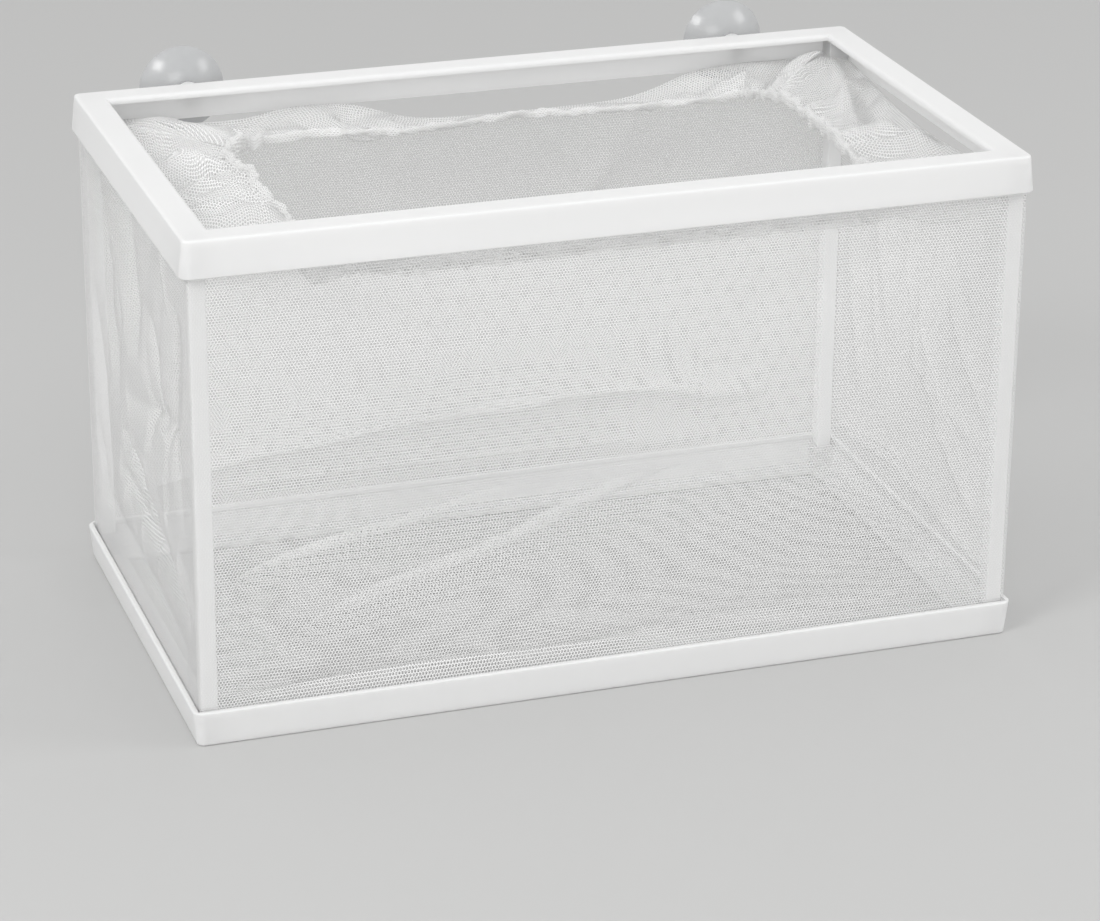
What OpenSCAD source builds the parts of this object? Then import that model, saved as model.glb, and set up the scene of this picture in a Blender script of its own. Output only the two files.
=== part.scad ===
// Net breeding box: two equal moulded frames, four square posts, a net bag with a
// turned-in collar and an elastic hem, and two suction cups behind the top frame.
// Front is -Y, the suction cups face +Y, and the box stands on Z = 0.

/* [Frames] */
// Width of a frame over its rim
rim_w = 267; // [220:1:320]
// Depth of a frame over its rim
rim_d = 152; // [120:1:200]
// Height of the whole box
box_h = 160; // [110:1:220]
// Height of a frame's skirt
skirt_h = 11.5; // [10.5:0.5:16]
// Wall of the skirt
skirt_t = 1.6; // [1.2:0.1:1.8]
// How far the skirt leans out from its flat face to its rim
flare = 1.2; // [0.8:0.1:1.6]
// Width of the flat flange
flange_w = 9.5; // [8.5:0.5:16]
// Thickness of the flange
flange_t = 2; // [1.4:0.1:3]
// Corner radius at the flat face
corner_r = 2.2; // [2:0.1:3]
// Rounding of the outer edge
edge_r = 0.8; // [0.4:0.1:1]
// Rounding of the flange's inner edge
lip_r = 1.2; // [0.5:0.1:1.3]

/* [Posts] */
// Side of a square post
post_w = 5.2; // [4:0.1:6]
// Rounding of a post's long edges
post_r = 0.6; // [0.3:0.1:1]
// Distance from the flat face's outline to a post
post_inset = 1.6; // [1.5:0.1:2]
// Wall of the corner sleeve that holds a post
sleeve_t = 0.8; // [0.6:0.1:0.9]
// Height of the corner sleeve over the flat face
sleeve_h = 9; // [6:0.5:9.5]
// Clearance between a post and its sleeve
post_gap = 0.05; // [0.03:0.01:0.1]

/* [Net bag] */
// Thickness of a net panel's solid
net_t = 0.5; // [0.4:0.05:0.6]
// Clearance between net and plastic
net_gap = 0.3; // [0.2:0.05:0.35]
// Clearance between two sewn panels
seam_gap = 0.1; // [0.05:0.05:0.2]
// Height of the net's corners above the box's foot
net_foot = 10.2; // [9.8:0.1:11]
// Depth of the folds in the front wall
front_fold = 1.2; // [0:0.1:2]
// Depth of the folds in the back wall
back_fold = 2.4; // [0:0.1:3]
// Depth of the folds in the two side walls
side_fold = 3; // [0:0.1:3.5]
// Depth of the long crease along the foot of the walls
crease_depth = 3; // [0:0.1:3.5]
// Width of that crease
crease_w = 16; // [10:1:30]
// Height of the crease in the front wall
front_crease = 18; // [16:1:60]
// Height of the crease in the back wall
back_crease = 37; // [16:1:60]
// Height of the crease in the left wall
left_crease = 22; // [16:1:60]
// Height of the crease in the right wall
right_crease = 29; // [16:1:60]
// Sag of the floor's middle
floor_sag = 4.2; // [2:0.1:5]
// Height of the two slanting ridges in the floor
ridge_h = 3.4; // [0:0.1:5]
// Width of a ridge in the floor
ridge_w = 18; // [12:1:40]
// Distance of the back ridge behind the floor's middle
ridge_back = 54; // [30:1:60]
// Distance of the front ridge behind the floor's middle
ridge_front = 18; // [-20:1:28]
// Angle of the two ridges to the long side
ridge_angle = 26; // [0:1:40]

/* [Mouth] */
// Width of the mouth along the hem's middle
mouth_w = 188; // [150:1:210]
// Depth of the mouth along the hem's middle
mouth_d = 104; // [85:1:115]
// Corner radius of the mouth
mouth_r = 15; // [8:1:25]
// Shift of the mouth to the right
mouth_shift = 6; // [0:1:10]
// How far the mouth's left side leans out at its back end, and in at its front end
mouth_lean = 4.5; // [0:0.5:6]
// Drop of the hem below the top face
hem_drop = 14; // [12:0.5:20]
// Further drop of the hem at the front
front_drop = 9; // [0:0.5:14]
// Sag of the net's top edge under the back rail
back_sag = 8; // [3:0.5:10]
// Sag of the net's top edge behind the front rail
front_sag = 1.5; // [0.5:0.5:4]
// Sag of the net's top edge under the left rail
left_sag = 2; // [1:0.5:5]
// Sag of the net's top edge under the right rail
right_sag = 4; // [1:0.5:5]
// How far the hem draws the middle of the net's top edges inwards
edge_pull = 2; // [0:0.5:4]
// Height of the hem's casing
hem_h = 5; // [4:0.5:7]
// Width of the hem's casing
hem_w = 3; // [2.6:0.1:4]
// Diameter of the elastic in the hem
elastic_d = 1.5; // [1:0.1:1.6]
// Clearance around the elastic
elastic_gap = 0.2; // [0.1:0.05:0.3]

/* [Suction cups] */
// Diameter of a suction cup
cup_d = 28; // [24:0.5:34]
// Height of a cup's dome
cup_h = 6.7; // [6:0.1:8]
// Depth of a cup's hollow
cup_hollow = 3.6; // [2.5:0.1:3.8]
// Width of a cup's flat lip
cup_lip = 0.9; // [0.6:0.1:1.2]
// Distance from a cup's axis to the end of the rim
cup_end = 39.7; // [25:0.1:60]
// Depth of the cups' axis below the top face
cup_axis_drop = 5.6; // [5:0.1:6]
// Diameter of the boss that holds a cup
boss_d = 9; // [8:0.1:9.2]
// How far the boss stands behind the rim
boss_l = 4; // [3:0.5:6]
// Diameter of a cup's stem
stem_d = 5; // [4:0.1:5.5]
// Length of a cup's stem in its boss
stem_l = 4.6; // [3:0.1:4.8]
// Clearance around and in front of the stem
stem_gap = 0.05; // [0.03:0.01:0.1]
// Diameter of a cup's neck
neck_d = 8.4; // [7:0.1:9]
// Length of a cup's neck
neck_l = 2; // [1.5:0.1:4]

/* [Hidden] */
$fn = 48;

plastic = [0.95, 0.95, 0.94];
netting = [0.93, 0.94, 0.95];
clear_pvc = [0.78, 0.79, 0.81, 0.85];

// Half sizes of the flat face
face_x = rim_w / 2 - flare;
face_y = rim_d / 2 - flare;
// Middle of a post, from the box's centre
post_x = face_x - post_inset - post_w / 2;
post_y = face_y - post_inset - post_w / 2;
// Middle plane of the net's walls, which run outside the posts
wall_x = face_x - post_inset + net_gap + net_t / 2;
wall_y = face_y - post_inset + net_gap + net_t / 2;
// Inner side of a post with its clearance, where the collar and floor stop
clear_x = post_x - post_w / 2 - net_gap;
clear_y = post_y - post_w / 2 - net_gap;
// Height of the net's top corners, under the sleeves
net_head = box_h - sleeve_h - net_gap - net_t / 2;
// Plane of the cups' lips, behind the box's centre
boss_y = rim_d / 2 + boss_l;
cup_face_y = boss_y + stem_gap + neck_l + cup_h;
// The origin lies under the middle of the box and cups together
centre_y = -(cup_face_y - rim_d / 2) / 2;

module place() translate([0, centre_y, 0]) children();

// ---- sheets and rings ----

// A closed thin sheet around mid(u, v), with thickness vector off, nu by nv cells
module sheet(mid, off, nu, nv) {
    row = nu + 1;
    layer = row * (nv + 1);
    points = [
        for (side = [-0.5, 0.5]) for (j = [0:nv]) for (i = [0:nu])
            mid(i / nu, j / nv) + side * off
    ];
    low = [
        for (j = [0:nv - 1]) for (i = [0:nu - 1])
            let (a = j * row + i)
            each [[a, a + 1, a + row + 1], [a, a + row + 1, a + row]]
    ];
    high = [for (f = low) [f[2] + layer, f[1] + layer, f[0] + layer]];
    edge = concat(
        [for (i = [0:nu]) i],
        [for (j = [1:nv]) j * row + nu],
        [for (i = [nu - 1:-1:0]) nv * row + i],
        [for (j = [nv - 1:-1:1]) j * row]
    );
    last = len(edge);
    rim = [
        for (k = [0:last - 1])
            let (a = edge[k], b = edge[(k + 1) % last])
            each [[b, a, a + layer], [b, a + layer, b + layer]]
    ];
    polyhedron(points, concat(low, high, rim));
}

// Point at t from 0 to 1 round the mouth's rounded rectangle, grown by e, with
// its left side leaning, counted from the middle of the back right corner to the left
function mouth(t, e = 0) =
    let (
        q = floor(t * 4) % 4,
        u = t * 4 - floor(t * 4),
        hx = mouth_w / 2 - mouth_r,
        hy = mouth_d / 2 - mouth_r,
        r = mouth_r + e,
        arc = 1 / 6,
        run = (q % 2 == 0) ? hx : hy,
        a = u < arc ? 45 + 45 * u / arc : u > 1 - arc ? 90 + 45 * (u - 1 + arc) / arc : 90,
        s = u < arc ? run : u > 1 - arc ? -run : run * (1 - 2 * (u - arc) / (1 - 2 * arc)),
        across = (q % 2 == 0) ? hy : hx,
        p = [s + r * cos(a), across + r * sin(a)],
        turned = q == 0 ? p : q == 1 ? [-p[1], p[0]] : q == 2 ? -p : [p[1], -p[0]]
    )
    let (lean = 4 * mouth_lean / mouth_w / mouth_d * min(0, turned[0]) * turned[1])
    [turned[0] + mouth_shift + lean, turned[1]];

// Height of the hem's middle at a point of the mouth
function hem_z(p) =
    box_h - hem_drop - front_drop * pow(0.5 - p[1] / mouth_d, 3);

// A closed ring round the mouth with an elliptic section of width w and height h
module mouth_ring(w, h, sides) {
    steps = 48;
    points = [
        for (k = [0:steps - 1])
            let (c = mouth(k / steps), o = mouth(k / steps, 1) - c)
            for (m = [0:sides - 1])
                let (a = 360 * m / sides)
                [c[0] + o[0] * w / 2 * cos(a), c[1] + o[1] * w / 2 * cos(a), hem_z(c) + h / 2 * sin(a)]
    ];
    faces = [
        for (k = [0:steps - 1]) for (m = [0:sides - 1])
            let (
                n = (k + 1) % steps,
                o = (m + 1) % sides,
                a = k * sides + m, b = k * sides + o,
                c = n * sides + o, d = n * sides + m
            )
            each [[a, b, c], [a, c, d]]
    ];
    polyhedron(points, faces);
}

// ---- frames ----

// How far the skirt's lip is bevelled, and the lean of the skirt
rim_bevel = skirt_t / 4;
skirt_lean = atan(flare / (skirt_h - rim_bevel));

// Section of the moulding's outside from a corner's centre: face, rounded edge,
// leaning skirt and bevelled rim
module rail_section() {
    round_x = corner_r - edge_r * (1 - sin(skirt_lean)) / cos(skirt_lean);
    rim_out = corner_r + flare;
    polygon([
        [0, 0],
        [round_x, 0],
        [round_x + edge_r * cos(skirt_lean), edge_r * (1 - sin(skirt_lean))],
        [rim_out, skirt_h - rim_bevel],
        [rim_out - rim_bevel, skirt_h],
        [0, skirt_h]
    ]);
    translate([round_x, edge_r]) circle(edge_r);
}

// Section across the hollow between two skirts whose flat faces lie half apart
module hollow_section(half) {
    low = half - skirt_t + tan(skirt_lean) * flange_t;
    high = half - skirt_t + tan(skirt_lean) * (skirt_h + 1);
    polygon([[-low, flange_t], [low, flange_t], [high, skirt_h + 1], [-high, skirt_h + 1]]);
}

// Sweeps a section round a rectangle of half sizes hx and hy with sharp centres
module sweep_round(hx, hy) {
    for (side = [0, 1]) rotate(180 * side) {
        translate([hx, hy, 0]) rotate([90, 0, 0]) linear_extrude(2 * hy) children();
        translate([-hx, hy, 0]) rotate([90, 0, 90]) linear_extrude(2 * hx) children();
        translate([hx, hy, 0]) rotate_extrude(angle = 90) children();
        translate([-hx, hy, 0]) rotate([0, 0, 90]) rotate_extrude(angle = 90) children();
    }
}

// The hollow of a corner sleeve or the notch round a post
module post_hole(gap, low, high) {
    side = post_w + 2 * gap;
    for (sx = [-1, 1]) for (sy = [-1, 1])
        translate([sx * post_x - side / 2, sy * post_y - side / 2, low]) cube([side, side, high - low]);
}

// One moulded frame, flat face down
module frame_moulding() {
    open_x = face_x - flange_w;
    open_y = face_y - flange_w;
    difference() {
        union() {
            difference() {
                union() {
                    sweep_round(face_x - corner_r, face_y - corner_r) rail_section();
                    linear_extrude(skirt_h)
                        square(2 * [face_x - corner_r, face_y - corner_r], center = true);
                }
                intersection() {
                    rotate([90, 0, 0]) linear_extrude(rim_d, center = true) hollow_section(face_x);
                    rotate([90, 0, 90]) linear_extrude(rim_w, center = true) hollow_section(face_y);
                }
            }
            post_hole(post_gap + sleeve_t, flange_t / 2, sleeve_h);
        }
        translate([-open_x, -open_y, -1]) cube([2 * open_x, 2 * open_y, skirt_h + 2]);
        post_hole(post_gap, flange_t, skirt_h + 1);
        lip_cut(open_x, open_y);
    }
}

// Rounds the flange's inner edge on the flat side
module lip_cut(open_x, open_y) {
    sweep_round(open_x, open_y)
        difference() {
            translate([-1, -1]) square([1 + lip_r, 1 + lip_r]);
            translate([lip_r, lip_r]) circle(lip_r);
            translate([-2, -2]) square([2, 4]);
        }
}

module bottom_frame() {
    place() color(plastic) frame_moulding();
}

// The top frame is the same moulding turned over, with two bosses for the cups
module top_frame() {
    skirt_out_y = rim_d / 2 - skirt_t;
    bore_y = boss_y - stem_l - stem_gap;
    bore_d = stem_d + 2 * stem_gap;
    place() color(plastic)
        difference() {
            union() {
                translate([0, 0, box_h]) mirror([0, 0, 1]) frame_moulding();
                for (side = [-1, 1])
                    cup_axis(side, skirt_out_y) cylinder(h = boss_y - skirt_out_y, d = boss_d);
            }
            for (side = [-1, 1]) cup_axis(side, bore_y) cylinder(h = 2 * stem_l, d = bore_d);
        }
}

// ---- posts ----

module post(sx, sy) {
    inner = post_w - 2 * post_r;
    place() color(plastic)
        translate([sx * post_x, sy * post_y, flange_t])
            linear_extrude(box_h - 2 * flange_t) {
                square([post_w, inner], center = true);
                square([inner, post_w], center = true);
                for (a = [-1, 1]) for (b = [-1, 1]) translate([a, b] * inner / 2) circle(post_r);
            }
}

module post_front_left() post(-1, -1);
module post_front_right() post(1, -1);
module post_back_left() post(-1, 1);
module post_back_right() post(1, 1);

// ---- net bag ----

// Half lengths of the walls, the long ones running past the ends of the short ones
long_half = wall_x + net_t / 2;
side_half = wall_y - net_t / 2 - seam_gap;

// Height of a wall's top edge at s along it, which hangs between its corners
function top_edge(s, half, sag) = net_head - sag * pow(cos(90 * s / half), 1.5);

// How far the top edge is drawn inwards at s along a wall
function top_pull(s, half) = edge_pull * pow(cos(90 * s / half), 2);

// How far a wall folds inwards at s along it and v up it: slanting waves and one
// long crease over its foot, both of which die out towards the corner posts
function folds(s, v, z, half, waves, crease) =
    pow(cos(90 * s / half), 2) * (
        waves[0] * sin(180 * v) * (0.5 - 0.5 * cos(360 * (waves[1] * s / half + waves[2] * v) + 70))
        + crease_depth * min(1, 3 * v) * exp(-pow((z - crease[0] - crease[1] * s) / crease_w * 2, 2))
    )
    + top_pull(s, half) * pow(v, 6);

// A wall's height, place along it and inward fold at u and v; waves holds the
// waves' depth, number and lean, and crease its height and slope
function wall(u, v, half, sag, waves, crease) =
    let (s = half * (2 * u - 1), z = net_foot + v * (top_edge(s, half, sag) - net_foot))
    [s, folds(s, v, z, half, waves, crease), z];

// A wall across the box; side is -1 at the front and 1 at the back
module long_wall(side, sag, waves, crease) {
    place() color(netting)
        sheet(
            function (u, v)
                let (w = wall(u, v, long_half, sag, waves, crease))
                [w[0], side * (wall_y - w[1]), w[2]],
            [0, -net_t, 0], 24, 10
        );
}

// A wall along the box's depth; side is -1 on the left and 1 on the right
module side_wall(side, sag, waves, crease) {
    place() color(netting)
        sheet(
            function (u, v)
                let (w = wall(u, v, side_half, sag, waves, crease))
                [side * (wall_x - w[1]), w[0], w[2]],
            [net_t, 0, 0], 14, 10
        );
}

module net_front() long_wall(-1, front_sag, [front_fold, 1, 0.6], [front_crease, 0]);
module net_back() long_wall(1, back_sag, [back_fold, 0.8, 1.5], [back_crease, 0.06]);
module net_left() side_wall(-1, left_sag, [side_fold, 1.4, 0.8], [left_crease, -0.1]);
module net_right() side_wall(1, right_sag, [side_fold, 1.2, -0.7], [right_crease, 0.17]);

// A ridge of the floor along a slanting line that crosses the middle at y = behind
function ridge(x, y, behind) =
    exp(-pow((x * sin(ridge_angle) - (y - behind) * cos(ridge_angle)) / ridge_w * 2, 2));

// The floor sags from its edges, and two ridges run from the front left to the back
function floor_z(u, v) =
    let (
        x = 2 * wall_x * (u - 0.5),
        y = 2 * wall_y * (v - 0.5),
        bowl = sin(180 * u) * sin(180 * v)
    )
    net_foot - floor_sag * pow(bowl, 0.4)
        + ridge_h * bowl * max(ridge(x, y, ridge_back), ridge(x, y, ridge_front));

module net_floor() {
    half = [wall_x, wall_y] - [1, 1] * (net_t / 2 + seam_gap);
    place() color(netting)
        difference() {
            sheet(
                function (u, v) [half[0] * (2 * u - 1), half[1] * (2 * v - 1), floor_z(u, v)],
                [0, 0, net_t], 24, 12
            );
            post_hole(net_gap, 0, box_h / 2);
        }
}

// ---- collar and hem ----

// Outer edge of a collar panel: along the wall, then round the posts' inner corners
function collar_edge(u, steps, run, post_edge, out, half) =
    let (i = round(u * steps), s = run * (1 - 2 * (i - 1) / (steps - 2)))
    i == 0 ? [run - seam_gap, post_edge]
    : i == steps ? [seam_gap - run, post_edge]
    : [s, out - top_pull(s, half)];

// One collar panel; quarter 0 is the back, then left, front and right.
// It runs from the wall's top edge to the hem, with folds that spread from the corners.
module collar(quarter, sag) {
    steps = 24;
    long = quarter % 2 == 0;
    run = long ? clear_x : clear_y;
    post_edge = long ? clear_y : clear_x;
    half = long ? long_half : side_half;
    out = (long ? wall_y : wall_x) - net_t / 2 - seam_gap;
    grow = hem_w / 2 + seam_gap;
    end = 0.004;
    place() color(netting)
        sheet(
            function (u, v)
                let (
                    w = end + (1 - 2 * end) * u,
                    e = collar_edge(u, steps, run, post_edge, out, half),
                    r = quarter * 90,
                    a = [e[0] * cos(r) - e[1] * sin(r), e[0] * sin(r) + e[1] * cos(r)],
                    b = mouth((quarter + w) / 4, grow),
                    p = a + (b - a) * v,
                    top = top_edge(e[0], half, sag),
                    z = top + (hem_z(b) - top) * v,
                    wave = 1.2 * sin(180 * v) * cos(360 * 5 * u)
                )
                [p[0], p[1], z + wave],
            [0, 0, -net_t], steps, 4
        );
}

module collar_back() collar(0, back_sag);
module collar_left() collar(1, left_sag);
module collar_front() collar(2, front_sag);
module collar_right() collar(3, right_sag);

// Turned-over casing of the hem, with the elastic's tunnel in it
module hem() {
    tunnel = elastic_d + 2 * elastic_gap;
    place() color(netting)
        difference() {
            mouth_ring(hem_w, hem_h, 8);
            mouth_ring(tunnel, tunnel, 6);
        }
}

module elastic() {
    place() color("white") mouth_ring(elastic_d, elastic_d, 6);
}

// ---- suction cups ----

// Puts its child's +Z along +Y, on a cup's axis and y behind the box's centre
module cup_axis(side, y) {
    translate([side * (rim_w / 2 - cup_end), y, box_h - cup_axis_drop]) rotate([-90, 0, 0]) children();
}

// Radius of the ball whose cap has the given width and height
function ball_r(width, height) = (width * width / 4 + height * height) / (2 * height);

// One cup: stem in the boss, neck, dome and shallow hollow with a flat lip
module cup(side) {
    outer = ball_r(cup_d, cup_h);
    hollow_d = cup_d - 2 * cup_lip;
    inner = ball_r(hollow_d, cup_hollow);
    apex = stem_gap + neck_l;
    face = apex + cup_h;
    place() color(clear_pvc)
        cup_axis(side, boss_y)
            rotate_extrude($fn = 96)
                difference() {
                    union() {
                        translate([0, -stem_l]) square([stem_d / 2, stem_l + apex]);
                        translate([0, stem_gap]) square([neck_d / 2, neck_l + neck_d * neck_d / 8 / outer]);
                        intersection() {
                            translate([0, apex + outer]) circle(outer);
                            square([cup_d, face]);
                        }
                    }
                    translate([0, face - cup_hollow + inner]) circle(inner);
                    translate([-2 * cup_d, -cup_d]) square([2 * cup_d, 3 * cup_d]);
                }
}

module cup_left() cup(-1);
module cup_right() cup(1);

top_frame();
bottom_frame();
post_front_left();
post_front_right();
post_back_left();
post_back_right();
net_front();
net_back();
net_left();
net_right();
net_floor();
collar_front();
collar_back();
collar_left();
collar_right();
hem();
elastic();
cup_left();
cup_right();
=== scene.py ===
"""A fish breeding box: a net bag with an elastic mouth in two moulded frames, and suction cups."""

import bpy
import numpy as np
from mathutils import Matrix


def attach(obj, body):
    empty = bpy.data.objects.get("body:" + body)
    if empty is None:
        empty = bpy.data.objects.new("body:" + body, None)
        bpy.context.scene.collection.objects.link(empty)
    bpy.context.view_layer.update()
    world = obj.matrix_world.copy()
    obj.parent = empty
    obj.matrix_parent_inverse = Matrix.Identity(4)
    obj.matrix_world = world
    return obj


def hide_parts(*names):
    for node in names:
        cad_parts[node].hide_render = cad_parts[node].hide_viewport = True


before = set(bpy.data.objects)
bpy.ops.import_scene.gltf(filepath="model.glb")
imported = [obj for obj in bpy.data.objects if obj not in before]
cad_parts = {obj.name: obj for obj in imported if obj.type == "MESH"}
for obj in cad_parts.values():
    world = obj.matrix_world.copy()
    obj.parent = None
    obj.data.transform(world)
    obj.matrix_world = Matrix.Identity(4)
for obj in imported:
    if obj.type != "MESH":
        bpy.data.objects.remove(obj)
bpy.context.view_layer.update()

# ---- Studio: floor, lights and camera ----
# A plain pale floor that runs out of sight, a white room round it, three large soft lamps,
# and a long lens that looks down on the box from its front left corner.

scene = bpy.context.scene
scene.view_settings.view_transform = "Standard"
scene.cycles.transparent_max_bounces = 32


def shaded(name):
    """A new material, and its Principled shader."""
    material = bpy.data.materials.new(name)
    material.use_nodes = True
    return material, material.node_tree.nodes["Principled BSDF"]


def mesh_object(name, points, faces, material):
    """A smooth-shaded object at the origin with these corners and faces, in metres."""
    mesh = bpy.data.meshes.new(name)
    mesh.from_pydata(points.reshape(-1, 3), [], faces.reshape(-1, faces.shape[-1]))
    mesh.materials.append(material)
    mesh.shade_smooth()
    made = bpy.data.objects.new(name, mesh)
    scene.collection.objects.link(made)
    return made


floor_paint, floor_shader = shaded("pale_floor")
floor_shader.inputs["Base Color"].default_value = (0.56, 0.56, 0.555, 1)
floor_shader.inputs["Roughness"].default_value = 0.75
floor_half = 6.0
floor_corners = np.array([[-1, -1, 0], [1, -1, 0], [1, 1, 0], [-1, 1, 0]]) * floor_half
studio_floor = mesh_object("studio_floor", floor_corners, np.array([[0, 1, 2, 3]]), floor_paint)

world = bpy.data.worlds.new("white_room")
world.use_nodes = True
room_light = world.node_tree.nodes["Background"].inputs
room_light["Color"].default_value = (1, 1, 1, 1)
room_light["Strength"].default_value = 0.8
scene.world = world

lamp_target = np.array([0, 0, 0.08])


def soft_lamp(name, place, side, power):
    """A square area lamp at place, turned to face the middle of the box."""
    lamp = bpy.data.lights.new(name, "AREA")
    lamp.size = side
    lamp.energy = power
    made = bpy.data.objects.new(name, lamp)
    made.location = place
    away = np.array(place) - lamp_target
    made.rotation_euler = (
        np.arctan2(np.hypot(away[0], away[1]), away[2]),
        0,
        np.arctan2(away[0], -away[1]),
    )
    scene.collection.objects.link(made)


soft_lamp("key_lamp", (-1.0, -0.6, 1.05), 0.5, 5.5)
soft_lamp("front_lamp", (-0.35, -1.5, 0.6), 0.7, 3.2)
soft_lamp("fill_lamp", (1.1, -0.5, 0.8), 0.5, 2.5)

# The camera's place, its three angles and its focal length in the photograph's pixels come from
# a pinhole camera fitted to the box's edges. Its own y is measured from the box's middle.
box_centre_y = -0.006375
camera_place = (-0.3565, -1.0613 + box_centre_y, 0.5128)
camera_yaw, camera_pitch, camera_roll = np.radians([18.73, 22.60, 0.44])
focal_pixels, photo_width = 3763.1, 1100
ahead = np.array([
    np.sin(camera_yaw) * np.cos(camera_pitch),
    np.cos(camera_yaw) * np.cos(camera_pitch),
    -np.sin(camera_pitch),
])
level_right = np.array([np.cos(camera_yaw), -np.sin(camera_yaw), 0])
level_up = np.cross(level_right, ahead)
right = np.cos(camera_roll) * level_right + np.sin(camera_roll) * level_up
up = np.cos(camera_roll) * level_up - np.sin(camera_roll) * level_right
lens = bpy.data.cameras.new("camera")
lens.sensor_width = 36
lens.lens = focal_pixels / photo_width * lens.sensor_width
camera = bpy.data.objects.new("camera", lens)
camera.matrix_world = Matrix([
    [right[0], up[0], -ahead[0], camera_place[0]],
    [right[1], up[1], -ahead[1], camera_place[1]],
    [right[2], up[2], -ahead[2], camera_place[2]],
    [0, 0, 0, 1],
])
scene.collection.objects.link(camera)
scene.camera = camera

# ---- Moulded frames and posts ----
# Injection-moulded white polystyrene: two equal L-section frames, one turned over, and four
# square posts pushed into their corner sleeves. The solids are the real shape and stay.


class Signal:
    """One output of a material's node. Arithmetic on it adds Math nodes, and node() adds any
    other node."""

    def __init__(self, socket):
        self.socket = socket

    def node(self, kind, settings=None, inputs=None, out=0):
        """A new node of that kind: its settings first, then the values or signals of its
        sockets."""
        tree = self.socket.id_data
        made = tree.nodes.new(kind)
        for name, value in (settings or {}).items():
            setattr(made, name, value)
        for name, value in (inputs or {}).items():
            if isinstance(value, Signal):
                tree.links.new(value.socket, made.inputs[name])
            else:
                made.inputs[name].default_value = value
        return Signal(made.outputs[out])

    def math(self, operation, *values):
        """A Math node on these values or signals."""
        return self.node("ShaderNodeMath", {"operation": operation}, dict(enumerate(values)))

    def between(self, low, high):
        """0 below low, 1 above high, and a smooth step from one to the other."""
        return self.node(
            "ShaderNodeMapRange",
            {"interpolation_type": "SMOOTHSTEP"},
            {"Value": self, "From Min": low, "From Max": high},
        )

    def mix(self, first, second):
        """The colour that goes from first to second as this signal goes from 0 to 1."""
        return self.node(
            "ShaderNodeMix",
            {"data_type": "RGBA"},
            {0: self, 6: (*first, 1), 7: (*second, 1)},
            out=2,
        )

    def noise(self, scale, detail=2.0, roughness=0.5):
        """Soft noise on the point that this signal gives, with scale lumps to the metre."""
        return self.node(
            "ShaderNodeTexNoise",
            None,
            {"Vector": self, "Scale": scale, "Detail": detail, "Roughness": roughness},
        )

    def bump(self, distance, strength=1.0):
        """The normal of a surface whose height is this signal, where 1 stands distance proud."""
        return self.node(
            "ShaderNodeBump", None, {"Height": self, "Distance": distance, "Strength": strength}
        )

    def __add__(self, other):
        return self.math("ADD", self, other)

    def __sub__(self, other):
        return self.math("SUBTRACT", self, other)

    def __rsub__(self, other):
        return self.math("SUBTRACT", other, self)

    def __mul__(self, other):
        return self.math("MULTIPLY", self, other)

    def __truediv__(self, other):
        return self.math("DIVIDE", self, other)

    __radd__ = __add__
    __rmul__ = __mul__


def plug(shader, **values):
    """Sets the shader's sockets, with spaces for the underscores in their names, to values or
    signals."""
    for name, value in values.items():
        socket = shader.inputs[name.replace("_", " ")]
        if isinstance(value, Signal):
            shader.id_data.links.new(value.socket, socket)
        else:
            socket.default_value = value


def object_point(material):
    """The point on the object."""
    return Signal(material.node_tree.nodes.new("ShaderNodeTexCoord").outputs["Object"])


def paint_solids(names, material):
    """Gives the CAD's solids of these names this material alone. Their shape stays."""
    for name in names:
        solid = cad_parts[name]
        solid.data.materials.clear()
        solid.data.materials.append(material)


plastic, plastic_shader = shaded("white_plastic")
plastic_at = object_point(plastic)
plastic_cloud = plastic_at.noise(18, 2)
plastic_grain = plastic_at.noise(900, 3, 0.6)
plastic_ripple = plastic_at.noise(60, 2)
plug(
    plastic_shader,
    Base_Color=plastic_cloud.mix((0.82, 0.822, 0.82), (0.86, 0.86, 0.857)),
    Roughness=plastic_cloud * 0.1 + plastic_grain * 0.12 + 0.26,
    Normal=(plastic_grain * 0.25 + plastic_ripple).bump(0.00012, 0.5),
    Subsurface_Weight=0.6,
    Subsurface_Radius=(1, 1, 1),
    Subsurface_Scale=0.005,
    IOR=1.55,
    Specular_IOR_Level=0.5,
)
paint_solids([
    "top_frame", "bottom_frame",
    "post_front_left", "post_front_right", "post_back_left", "post_back_right",
], plastic)

# ---- Net bag: walls ----
# Knitted polyester net with six-sided holes a millimetre apart, sewn into a slack bag. The
# walls pass outside the posts and are held only at the corners, so they crease between them.


def cloth_point(material):
    """The point's place in the flat cloth, in metres, from the sheets' UV map 'cut'."""
    made = material.node_tree.nodes.new("ShaderNodeUVMap")
    made.uv_map = "cut"
    return Signal(made.outputs["UV"])


hole_pitch = 0.001


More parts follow.
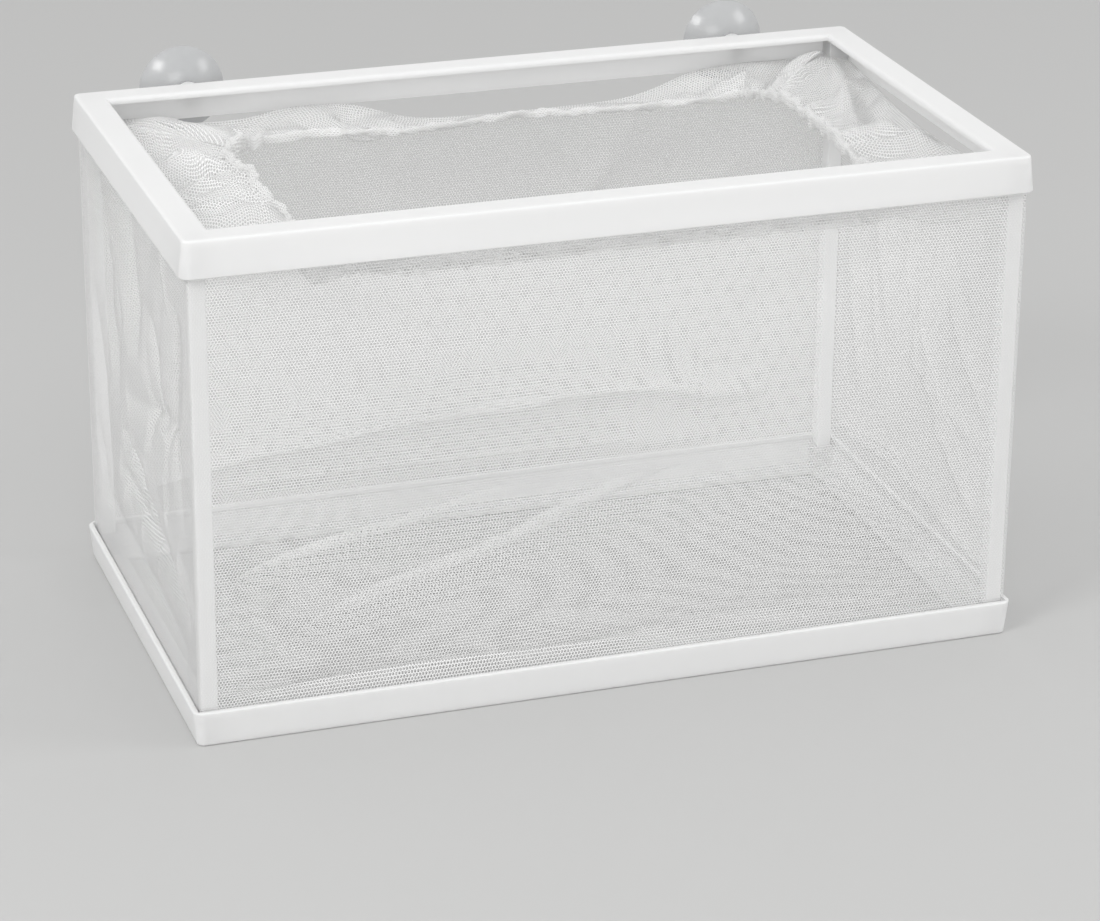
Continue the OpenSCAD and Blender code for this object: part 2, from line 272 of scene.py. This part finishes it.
def netting(name, thread, tint=(0.93, 0.93, 0.925)):
    """Net of six-sided holes a pitch apart, with alpha 0 in the holes and thread as the width
    of its threads in metres. A point's cell is the nearer of two centres on a grid of 1 by
    root 3, and its thread lies where the six-sided distance from that centre nears half."""
    material, shader = shaded(name)
    cloth = cloth_point(material)
    place = cloth.node("ShaderNodeSeparateXYZ", None, {0: cloth}).socket.node.outputs
    across, along = Signal(place[0]) / hole_pitch, Signal(place[1]) / hole_pitch
    tall = 3 ** 0.5
    reach = []
    for shift in (0, 0.5):
        x = (across + shift).math("FLOORED_MODULO", across + shift, 1.0) - 0.5
        y = (along + shift * tall).math("FLOORED_MODULO", along + shift * tall, tall) - tall / 2
        x, y = x.math("ABSOLUTE", x), y.math("ABSOLUTE", y)
        reach.append(x.math("MAXIMUM", x, x * 0.5 + y * (tall / 2)))
    reach = reach[0].math("MINIMUM", *reach)
    edge = 0.5 - thread / hole_pitch / 2
    knit = object_point(material).noise(220, 2)
    plug(
        shader,
        Base_Color=knit.mix(tint, (0.97, 0.97, 0.968)),
        Alpha=reach.between(edge - 0.02, edge + 0.02),
        Roughness=knit * 0.15 + 0.5,
        Normal=reach.between(edge - 0.06, 0.5).bump(thread / 2, 0.3),
        Sheen_Weight=0.2,
        Specular_IOR_Level=0.35,
    )
    return material


def from_foot(x, y, z):
    """Points of the shared frame in metres, from millimetres off the middle of the box's foot."""
    x, y, z = np.broadcast_arrays(x, y, z)
    return np.stack([x / 1000, y / 1000 + box_centre_y, z / 1000], axis=-1)


def cloth_sheet(name, points, cut, material, ring=False, keep=None):
    """A sheet through points[j, i], with cut[j, i] in metres as its place in the flat cloth, in
    the UV map 'cut'. A ring's last column joins its first, and keep says which cells stay."""
    rows, columns = points.shape[:2]
    cells_round = columns if ring else columns - 1
    j, i = np.meshgrid(np.arange(rows - 1), np.arange(cells_round), indexing="ij")
    if keep is not None:
        j, i = j[keep], i[keep]
    j, i = j.ravel(), i.ravel()
    corner = np.stack([i, i + 1, i + 1, i], 1), np.stack([j, j, j + 1, j + 1], 1)
    faces = corner[1] * columns + corner[0] % columns
    made = mesh_object(name, points, faces, material)
    if ring:
        once_round = cut[0, -1, 0] * columns / (columns - 1)
        cut = np.concatenate([cut, cut[:, :1] + [once_round, 0]], 1)
    uv = made.data.uv_layers.new(name="cut")
    uv.data.foreach_set("uv", cut[corner[1], corner[0]].astype(np.float32).ravel())
    return made


# Much less than a thread's width, so that the holes still show where a wall is seen at a slant.
thread_thickness = 0.00005


def thicken(cloth):
    """Gives a sheet some of the thickness of its threads, half to each side, so that slanting
    views see less through it."""
    solid = cloth.modifiers.new("threads", "SOLIDIFY")
    solid.thickness = thread_thickness
    solid.offset = 0
    return cloth


def hang(cloth, node):
    """Fixes a piece of the bag to the box, where it takes the place of that node's solid."""
    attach(cloth, "box")
    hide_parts(node)


def creases(s, z, lines):
    """Depth of soft creases: each line (start, end, depth, width) is deepest on itself, falls
    off across as a rounded tent that dies out in a few widths, and along as the root of a half
    sine."""
    total = np.zeros(np.broadcast(s, z).shape)
    for (s0, z0), (s1, z1), depth, width in lines:
        run = np.hypot(s1 - s0, z1 - z0)
        along = np.clip(((s - s0) * (s1 - s0) + (z - z0) * (z1 - z0)) / run**2, 0, 1)
        off = ((s - s0) * (z1 - z0) - (z - z0) * (s1 - s0)) / run
        tent = np.exp(0.3 - np.sqrt((off / width) ** 2 + 0.09))
        total += depth * tent * np.sqrt(np.sin(np.pi * along) + 1e-9)
    return total


def tucks(s, z, lines):
    """Moves along s, along z and inwards that draw the cloth up into narrow folds. A line (start,
    end, bow, depth, width) is a parabola that rises by bow over its chord. The cloth is drawn
    to it from both sides by depth times the tanh of its distance in widths, which dies out in a
    few widths and at the line's ends, and stands in by half of depth as a bell curve across."""
    move = np.zeros((3, *np.broadcast(s, z).shape))
    for (s0, z0), (s1, z1), bow, depth, width in lines:
        run = np.hypot(s1 - s0, z1 - z0)
        along = np.clip(((s - s0) * (s1 - s0) + (z - z0) * (z1 - z0)) / run**2, 0, 1)
        side_s, side_z = -(z1 - z0) / run, (s1 - s0) / run
        off = (s - s0) * side_s + (z - z0) * side_z - bow * (1 - (2 * along - 1) ** 2)
        fade = np.sqrt(np.sin(np.pi * along) + 1e-9)
        draw = -depth * fade * np.tanh(off / width) * np.exp(-((off / width / 5) ** 2))
        move += draw * side_s, draw * side_z, 0.5 * depth * fade * np.exp(-((off / width) ** 2))
    return move


def small_creases(seed, count, half, depth, slant):
    """Lines for creases(): count short creases spread over a wall, upright but for a random
    slant."""
    chance = np.random.default_rng(seed)
    lines = []
    for _ in range(count):
        s, z = chance.uniform(-half, half), chance.uniform(25, 135)
        run, lean = chance.uniform(15, 50), chance.normal(0, slant)
        lines.append((
            (s - run * lean / 2, z - run / 2), (s + run * lean / 2, z + run / 2),
            depth * chance.uniform(-0.6, 1), chance.uniform(1.5, 4),
        ))
    return lines


net = netting("white_net", thread=0.00021)
net_foot_z, net_head_z = 10.2, 150.45
wall_x, wall_y = 131.25, 73.75


def wall_grid(half, top, across, high):
    """Distances s along a wall and heights z on it, from its foot to its top edge at that s."""
    s = np.linspace(-half, half, across + 1)
    v = np.linspace(0, 1, high + 1)[:, None]
    return np.broadcast_to(s, (high + 1, across + 1)), net_foot_z + v * (top(s) - net_foot_z)


def still_at_posts(s, z, half):
    """1 over the wall's field, and a smooth 0 next to the posts and at its foot and head."""
    side = np.clip((half - 6 - np.abs(s)) / 14, 0, 1)
    foot = np.clip((z - net_foot_z) / 7, 0, 1)
    head = np.clip((net_head_z + 3 - z) / 12, 0, 1)
    return (side**2 * (3 - 2 * side)) * foot * head


def slack_top(s, half, sag):
    """Height of a wall's top fold, which hangs by sag between its corners as a cosine to the
    power 1.5."""
    return net_head_z - sag * np.cos(np.pi * s / 2 / half) ** 1.5


def back_top(s):
    """The back wall's top fold: it dips by the left post and hangs low right of the middle, as
    two flat-bottomed bells."""
    dip = 3.2 * np.exp(-(((s + 92) / 24) ** 4))
    return slack_top(s, wall_x, 1) - dip - 8 * np.exp(-(((s - 18) / 52) ** 6))


def front_top(s):
    """The front wall's top fold, almost straight."""
    return slack_top(s, wall_x, 1.5)


def left_top(s):
    """The left wall's top fold, 2 mm slack."""
    return slack_top(s, wall_y, 2)


def right_top(s):
    """The right wall's top fold, 4 mm slack."""
    return slack_top(s, wall_y, 4)


def drawn_in(s, half):
    """How far the hem draws a wall's top fold inwards: a squared cosine, 2 mm in the middle."""
    return 2 * np.cos(np.pi * s / 2 / half) ** 2


def sewn_wall(name, half, top, across, high, lines, tuck_lines, place):
    """One wall of the bag: a grid folded inwards by its creases and tucks, and by its top fold's
    draw to the sixth power of its height, put in place by place(s, fold, z)."""
    s, z = wall_grid(half, top, across, high)
    still = still_at_posts(s, z, half)
    along, rise, inwards = tucks(s, z, tuck_lines) * still
    fold = creases(s, z, lines) * still + inwards
    fold += drawn_in(s, half) * ((z - net_foot_z) / (top(s) - net_foot_z)) ** 6
    cut = np.stack([s + half, z], -1) / 1000
    made = thicken(cloth_sheet(name + "_cloth", place(s + along, fold, z + rise), cut, net))
    hang(made, name)


front_lines = [
    ((-105, 18), (-30, 17), 1.6, 3), ((-30, 17), (90, 21), 0.8, 4),
    ((-128, 60), (-95, 22), 1.0, 4), ((100, 28), (126, 70), 0.8, 5),
    ((-120, 140), (-40, 120), 0.8, 9), ((30, 118), (120, 142), 0.8, 9),
    ((-60, 100), (60, 60), 0.9, 30),
] + small_creases(3, 12, 120, 0.5, 0.6)
front_tucks = [((-122, 15), (10, 16), 1.5, 2.4, 1.3)]
sewn_wall(
    "net_front", wall_x, front_top, 240, 160, front_lines, front_tucks,
    lambda s, fold, z: from_foot(s, -wall_y + fold, z),
)

back_lines = [
    ((-124, 20), (-40, 35), 4.5, 4), ((-70, 31), (30, 41), 5.0, 4),
    ((0, 39), (108, 31), 4.2, 4), ((-100, 16), (90, 16), 2.0, 4),
    ((-110, 120), (-30, 80), 2.2, 9), ((40, 84), (118, 130), 2.2, 9),
    ((-50, 140), (-20, 90), 2.0, 5), ((60, 140), (30, 95), 2.0, 6),
] + small_creases(5, 18, 115, 0.9, 0.8)
back_tucks = [
    ((-118, 22), (84, 36), 8, 6.0, 2.4), ((-90, 17), (60, 18), 2, 3.0, 1.4),
]
sewn_wall(
    "net_back", wall_x, back_top, 240, 160, back_lines, back_tucks,
    lambda s, fold, z: from_foot(s, wall_y - fold, z),
)

left_lines = [
    ((24, 64), (-24, 49), 3.4, 4), ((-14, 52), (-70, 31), 3.6, 3.5), ((16, 78), (-52, 94), 2.8, 4),
    ((-60, 132), (-38, 82), 3.0, 4), ((-18, 118), (-30, 84), 2.4, 3), ((30, 50), (-34, 41), 2.6, 3),
    ((-68, 92), (-66, 36), 2.0, 3), ((50, 142), (30, 72), 2.8, 6), ((12, 146), (2, 96), 2.4, 5),
    ((62, 104), (46, 24), 2.4, 5), ((60, 30), (-60, 22), 2.8, 4),
] + small_creases(11, 52, 62, 1.5, 0.6)
left_tucks = [
    ((24, 65), (-70, 31), 0, 3.2, 1.7), ((16, 48), (-34, 41), 0, 2.2, 1.5),
    ((-56, 136), (-38, 80), 0, 2.0, 1.6),
]
sewn_wall(
    "net_left", wall_y, left_top, 160, 150, left_lines, left_tucks,
    lambda s, fold, z: from_foot(-wall_x + fold, s, z),
)

right_lines = [
    ((66, 20), (14, 29), 4.8, 3), ((20, 29), (-62, 17), 4.8, 3.5),
    ((-2, 94), (-24, 46), 2.8, 3.5), ((-18, 52), (-54, 30), 2.6, 3),
    ((-24, 96), (-58, 66), 2.6, 3.5), ((6, 67), (-62, 54), 2.4, 3.5),
    ((40, 132), (20, 64), 2.2, 6), ((56, 92), (42, 36), 2.2, 5),
    ((-62, 16), (-58, 66), -1.4, 5),
] + small_creases(17, 38, 60, 1.1, 0.5)
right_tucks = [
    ((67, 19), (-67, 15), -10, 5.4, 2.3), ((0, 88), (-52, 32), 0, 2.0, 1.5),
]
sewn_wall(
    "net_right", wall_y, right_top, 160, 150, right_lines, right_tucks,
    lambda s, fold, z: from_foot(wall_x - fold, s, z),
)

# ---- Net bag: floor ----
# The bag's square-cut bottom. It lies slack over the bottom frame's open middle, sags clear of
# the table, and is thrown into two long slanting ridges. Its corners are cut round the posts.

post_clear_x, post_clear_y = 125.2, 67.7


def floor_lines(half, clear, count):
    """Grid lines from -half to half, one of which lies at each post's inner side."""
    inner = np.linspace(-clear, clear, count - 5)
    ends = np.linspace(clear, half, 4)[1:]
    return np.concatenate([-ends[::-1], inner, ends])


floor_x, floor_y = np.meshgrid(
    floor_lines(wall_x, post_clear_x, 220), floor_lines(wall_y, post_clear_y, 124)
)
bowl = np.cos(np.pi * floor_x / 2 / wall_x) * np.cos(np.pi * floor_y / 2 / wall_y)
ridge_lines = [
    ((-95, 20), (-20, 49), 5.0, 4), ((-30, 46), (40, 70), 4.4, 4),
    ((-90, -26), (0, 22), 5.6, 4), ((-10, 17), (84, 72), 5.6, 4),
    ((-60, -50), (60, -10), 1.8, 9), ((20, -60), (110, 10), 1.4, 9),
    ((60, 20), (118, 50), 1.8, 6),
]
floor_tucks = [
    ((-104, 18), (36, 70), 3, 5.0, 2.0), ((-100, -32), (88, 72), 3, 5.6, 2.2),
    ((-112, -62), (-30, -56), 2, 3.0, 1.6),
]
# It sags as a bowl, the product of two cosines to the power 0.4, and is still at its edges.
floor_sag = 4.2
floor_still = np.clip(bowl * 3, 0, 1)
shift_x, shift_y, floor_rise = tucks(floor_x, floor_y, floor_tucks) * floor_still
floor_z = (
    net_foot_z - floor_sag * np.clip(bowl, 0, 1) ** 0.4
    + creases(floor_x, floor_y, ridge_lines) * floor_still + floor_rise
)
cell_x = np.abs(floor_x[:-1, :-1] + floor_x[1:, 1:]) / 2
cell_y = np.abs(floor_y[:-1, :-1] + floor_y[1:, 1:]) / 2
net_floor = thicken(cloth_sheet(
    "net_floor_cloth", from_foot(floor_x + shift_x, floor_y + shift_y, floor_z),
    np.stack([floor_x + wall_x, floor_y + wall_y], -1) / 1000, net,
    keep=(cell_x < post_clear_x) | (cell_y < post_clear_y),
))
hang(net_floor, "net_floor")

# ---- Net bag: hem and elastic ----
# The mouth's edge is turned over a white round elastic and stitched. The elastic draws the net
# in to a ring that sits right of the middle and hangs lower at the front, in small gathers.

mouth_wide, mouth_deep, mouth_corner = 94.0, 52.0, 15.0
mouth_shift, mouth_lean = 6.0, 4.5


def mouth_line(t, grow):
    """Points x, y round the mouth at t from 0 to 1, from the back right corner's middle over
    the left: a rounded rectangle with straight runs and quarter arcs, grown outwards by grow,
    whose left side leans."""
    wide, deep, corner = mouth_wide, mouth_deep, mouth_corner
    t = np.mod(t, 1.0) * 4
    side, u = np.floor(t).astype(int) % 4, t - np.floor(t)
    arc = 1 / 6
    run = np.where(side % 2 == 0, wide - corner, deep - corner)
    off = np.where(side % 2 == 0, deep - corner, wide - corner)
    past_run, before_run = np.clip((u - 1 + arc) / arc, 0, 1), np.clip((arc - u) / arc, 0, 1)
    turn = np.radians(90 + 45 * (past_run - before_run))
    s = run * (1 - 2 * np.clip((u - arc) / (1 - 2 * arc), 0, 1))
    along = s + (corner + grow) * np.cos(turn)
    out = off + (corner + grow) * np.sin(turn)
    x = np.choose(side, [along, -out, -along, out])
    y = np.choose(side, [out, along, -out, -along])
    return x + mouth_shift + mouth_lean * np.minimum(x, 0) / wide * y / deep, y


hem_back_z, hem_drop = 146.0, 9.0


def hem_height(y):
    """Height of the hem's middle: level at the back, and lower by a cube law towards the
    front."""
    return hem_back_z - hem_drop * np.clip(0.5 - y / (2 * mouth_deep), 0, 1) ** 3


def wandering(t, count, seed):
    """Phase and depth of count waves round the mouth, both drawn out and in by a few slow
    random sines."""
    chance = np.random.default_rng(seed)
    phase, depth = 2 * np.pi * count * t, np.ones_like(t)
    for turns in (3, 5, 9, 14):
        size = chance.uniform(0.4, 1.1)
        phase = phase + size * np.sin(2 * np.pi * (turns * t + chance.uniform()))
        size = chance.uniform(0.1, 0.25)
        depth = depth + size * np.sin(2 * np.pi * (turns * t + chance.uniform()))
    return phase, depth


def gathers(t, count, seed):
    """Uneven small folds round the mouth, from about -1 to 1: the cosine of count waves whose
    phase and depth wander."""
    phase, depth = wandering(t, count, seed)
    return np.cos(phase) * depth


def puffs(t, count, seed):
    """Uneven puffs round the mouth, from about -1 to 1: the size of the cosine of half a phase,
    with round tops and sharp valleys. A cosine added to the phase makes one side of each puff
    long and the other short."""
    phase, depth = wandering(t, count, seed)
    phase = phase + 0.6 * np.sin(2 * np.pi * t) * np.cos(phase)
    return (1.7 * np.abs(np.cos(phase / 2)) - 1) * depth


def drift(t, v, seed, turns):
    """A smooth random field round the mouth and out from it, from about -1 to 1: eight cosines
    with random whole turns in t, random turns in v and random phases."""
    chance = np.random.default_rng(seed)
    total = 0
    for _ in range(8):
        way = chance.integers(1, turns + 1) * t + chance.uniform(-0.8, 0.8) * v
        total = total + np.cos(2 * np.pi * (way + chance.uniform()))
    return total / 3


def at_back(t):
    """1 along the mouth's back, where the hem is drawn tight, and a soft 0 from the corners on."""
    return np.exp(-(((np.mod(t, 1) - 0.115) / 0.1) ** 4))


def hem_place(t):
    """x, y and z of the hem's middle: the mouth's line and height, swayed and raised by the
    gathers. All of them are small at the front, in a flat-topped bell round its middle, and the
    ripples are smaller along the back."""
    calm = 1 - 0.8 * np.exp(-(((np.mod(t, 1) - 0.625) / 0.12) ** 4))
    sway = calm * (0.7 * gathers(t, 11, 31) + 0.35 * gathers(t, 29, 32))
    x, y = mouth_line(t, sway)
    ripple = 0.4 * gathers(t, 34, 34) + 0.4 * gathers(t, 66, 35)
    rise = 0.8 * gathers(t, 9, 33) + ripple * (1 - 0.6 * at_back(t))
    return x, y, hem_height(y) + calm * rise


# The net gathered into the hem is half as long again as the mouth's 0.56 m.
ring_length, ring_girth = 0.84, 0.014


def ring_tube(name, material, stations, sides, section):
    """A closed tube round the mouth. section(t, a) gives how far a point at angle a of the
    station t stands out from the hem's middle and above it, in millimetres."""
    t = np.arange(stations) / stations
    a = np.linspace(0, 2 * np.pi, sides + 1)
    x, y, z = hem_place(t)
    ahead_x = np.gradient(np.r_[x[-1], x, x[0]])[1:-1]
    ahead_y = np.gradient(np.r_[y[-1], y, y[0]])[1:-1]
    size = np.hypot(ahead_x, ahead_y)
    out_x, out_y = ahead_y / size, -ahead_x / size
    out, rise = section(t[None, :], a[:, None])
    points = from_foot(x + out_x * out, y + out_y * out, z + rise)
    round_tube = a[:, None] / (2 * np.pi)
    cut = np.stack(np.broadcast_arrays(t * ring_length, round_tube * ring_girth), -1)
    made = cloth_sheet(name, points, cut, material, ring=True)
    seam = made.modifiers.new("seam", "WELD")
    seam.merge_threshold = 1e-6
    return made


# How many gathers the elastic makes, and their seed. They run on into the collar.
fine_gathers = 150, 41


def hem_section(t, a):
    """An upright oval, 4 mm high and 2.6 wide, or 2.4 by 2 along the back, pinched in and out
    by the gathers, uneven by a random field at its top and foot, and up to 6.8 high where it
    bunches at the back left corner."""
    pinch = gathers(t, *fine_gathers)
    tight = at_back(t)
    half_wide = 1.3 - 0.3 * tight + 0.4 * pinch * (1 - 0.4 * tight) + 0.15 * np.cos(3 * a)
    uneven = 0.6 * drift(t, 0.4 * np.sin(a), 42, 90) + 0.4 * pinch
    bunch = 1.4 * np.exp(-(((t - 0.25) / 0.035) ** 2))
    half_high = 2.0 - 0.8 * tight + uneven * (1 - 0.4 * tight) + bunch
    return half_wide * np.cos(a) + 0.6 * drift(t, 0, 43, 60) * np.sin(a), half_high * np.sin(a)


hem_net = netting("hem_net", thread=0.00042)
hem = ring_tube("hem_cloth", hem_net, 1500, 20, hem_section)
hang(hem, "hem")

rubber, rubber_shader = shaded("white_elastic")
braid = cloth_point(rubber)
rib = braid.node(
    "ShaderNodeTexWave", {"wave_type": "BANDS", "bands_direction": "DIAGONAL"},
    {"Vector": braid, "Scale": 900},
)
plug(
    rubber_shader,
    Base_Color=rib.mix((0.74, 0.74, 0.73), (0.88, 0.88, 0.87)),
    Roughness=rib * 0.1 + 0.55,
    Normal=rib.bump(0.00008, 0.6),
)
elastic_radius = 0.75


def elastic_section(t, a):
    """A circle, the same at every station."""
    t, a = np.broadcast_arrays(t, a)
    return elastic_radius * np.cos(a), elastic_radius * np.sin(a)


elastic = ring_tube("elastic_cord", rubber, 700, 12, elastic_section)
hang(elastic, "elastic")

# ---- Net bag: collar ----
# Above the walls the same net turns inwards to the hem. It starts at the walls' top fold, is
# nicked round the posts, and gathers towards the mouth in folds that spread from the corners.


def quarter_edge(quarter, u, run, clear, wall, half):
    """Outer edge of a collar panel at u from 0 to 1, by its length: out along the post's inner
    side, along the wall, and back in along the next post's side. Gives x, y and the distance
    along the wall."""
    nick = wall - clear
    way = u * (2 * run + 2 * nick)
    along = run - np.clip(way - nick, 0, 2 * run)
    stand = np.clip(way, 0, nick) - np.clip(way - nick - 2 * run, 0, nick)
    out = clear + stand - drawn_in(along, half) * stand / nick
    turn = quarter * np.pi / 2
    x = along * np.cos(turn) - out * np.sin(turn)
    y = along * np.sin(turn) + out * np.cos(turn)
    return x, y, along if quarter < 2 else -along


# The collar's net is the walls' net with thicker threads and a lighter tint. The lighter tint is
# painted light: it stands in for the brighter light that falls on the collar from above through the
# open mouth.
collar_net_painted_light = netting("collar_net_painted_light", thread=0.0003, tint=(0.96, 0.96, 0.957))


def measured(points):
    """Each point's place in the flat cloth: its distance from the middle column and from the
    first row, both added up along the sheet itself."""
    across = np.linalg.norm(np.diff(points, axis=1), axis=-1).cumsum(1)
    across = np.pad(across, ((0, 0), (1, 0)))
    across = across - across[:, [points.shape[1] // 2]]
    down = np.linalg.norm(np.diff(points, axis=0), axis=-1).cumsum(0)
    return np.stack([across, np.pad(down, ((1, 0), (0, 0)))], -1)


def collar_panel(name, quarter, top, lines, material):
    """One side of the collar: straight lines from its outer edge to the hem, with a slack droop
    between, broad puffs that fill it and fade at both edges, finer folds that grow towards the
    hem, and the folds that lines gives, in the form that creases() takes, as x and y and a
    height above the rest."""
    if quarter % 2 == 0:
        columns, rows = 480, 36
        run, clear, wall, half = post_clear_x, post_clear_y, wall_y, wall_x
    else:
        columns, rows = 320, 60
        run, clear, wall, half = post_clear_y, post_clear_x, wall_x, wall_y
    u = np.linspace(0, 1, columns + 1)
    v = np.linspace(0, 1, rows + 1)[:, None]
    x0, y0, along = quarter_edge(quarter, u, run, clear, wall, half)
    t = (quarter + u) / 4
    x1, y1, z1 = hem_place(t)
    z0 = top(along)
    reach = np.hypot(x1 - x0, y1 - y0)
    corner = np.abs(2 * u - 1) ** 3
    droop = -0.07 * reach * np.sin(np.pi * v) * (1 - corner)
    wander = t + 0.006 * drift(t, v, 61, 9)
    swell = np.clip(0.9 + 0.6 * drift(t, v, 62, 14), 0.15, 1.6) * np.clip(reach / 40, 0.4, 1)
    broad = 4.4 * puffs(wander, 22, 51) + 2.6 * gathers(wander, 8, 54)
    broad = swell * np.sin(np.pi * v**0.75) ** 0.8 * broad
    narrow = 1.5 * v * (1 - v**8) * puffs(wander, 58, 52)
    fine = 0.45 * v**4 * gathers(t, *fine_gathers)
    x, y = x0 + (x1 - x0) * v, y0 + (y1 - y0) * v
    folds = creases(x, y, lines) * np.clip(5 * v, 0, 1) * np.clip(8 - 8 * v, 0, 1)
    z = z0 + (z1 - z0) * v + droop + broad + folds
    side = 0.9 * np.sin(np.pi * v) * gathers(wander, 41, 53)
    x, y = x + side * (y1 - y0) / reach, y - side * (x1 - x0) / reach
    cut = measured(from_foot(x, y, z))
    points = from_foot(x, y, z + narrow + fine)
    made = thicken(cloth_sheet(name + "_cloth", points, cut, material))
    hang(made, name)


left_folds = [
    ((-126, 52), (-92, 26), 4.0, 3), ((-124, 34), (-94, 4), 4.5, 4),
    ((-124, 4), (-88, -6), 5.0, 4), ((-122, -22), (-84, -18), 5.0, 4),
    ((-118, -44), (-80, -34), 4.0, 4), ((-124, 44), (-100, 22), -4.0, 4),
    ((-126, 20), (-96, -2), -5.0, 5), ((-124, -8), (-92, -14), -4.0, 4),
]
right_folds = [
    ((126, 64), (112, 12), 4.5, 4), ((112, 12), (130, -24), 4.5, 4),
    ((124, 40), (124, -8), -5.0, 7), ((122, -30), (104, -34), 3.0, 4),
]
back_folds = [
    ((124, 68), (80, 52), -2.4, 8), ((127, 66), (60, 58), 1.6, 1.2),
    ((127, 66), (72, 56), 1.8, 1.2), ((127, 66), (82, 54), 1.8, 1.2),
    ((127, 66), (91, 50), 1.8, 1.2), ((127, 66), (97, 46), 1.6, 1.2),
    ((-124, 66), (-60, 60), 2.5, 3), ((-120, 66), (-84, 50), 2.5, 3),
]
collar_panel(
    "collar_back", 0, back_top, back_folds, collar_net_painted_light
)
collar_panel("collar_left", 1, left_top, left_folds, collar_net_painted_light)
collar_panel("collar_front", 2, front_top, [], net)
collar_panel("collar_right", 3, right_top, right_folds, collar_net_painted_light)

# ---- Suction cups ----
# Clear greyish soft vinyl, one piece each: dome, neck and the stem that turns in the frame's
# boss. The solids are the real shape and stay.

vinyl, vinyl_shader = shaded("clear_vinyl")
vinyl_cloud = object_point(vinyl).noise(120, 3)
plug(
    vinyl_shader,
    Base_Color=vinyl_cloud.mix((0.66, 0.67, 0.68), (0.74, 0.745, 0.75)),
    Roughness=vinyl_cloud * 0.1 + 0.2,
    Normal=vinyl_cloud.bump(0.0003, 0.4),
    Transmission_Weight=0.45,
    IOR=1.5,
    Coat_Weight=0.35,
    Coat_Roughness=0.12,
)
paint_solids(["cup_left", "cup_right"], vinyl)
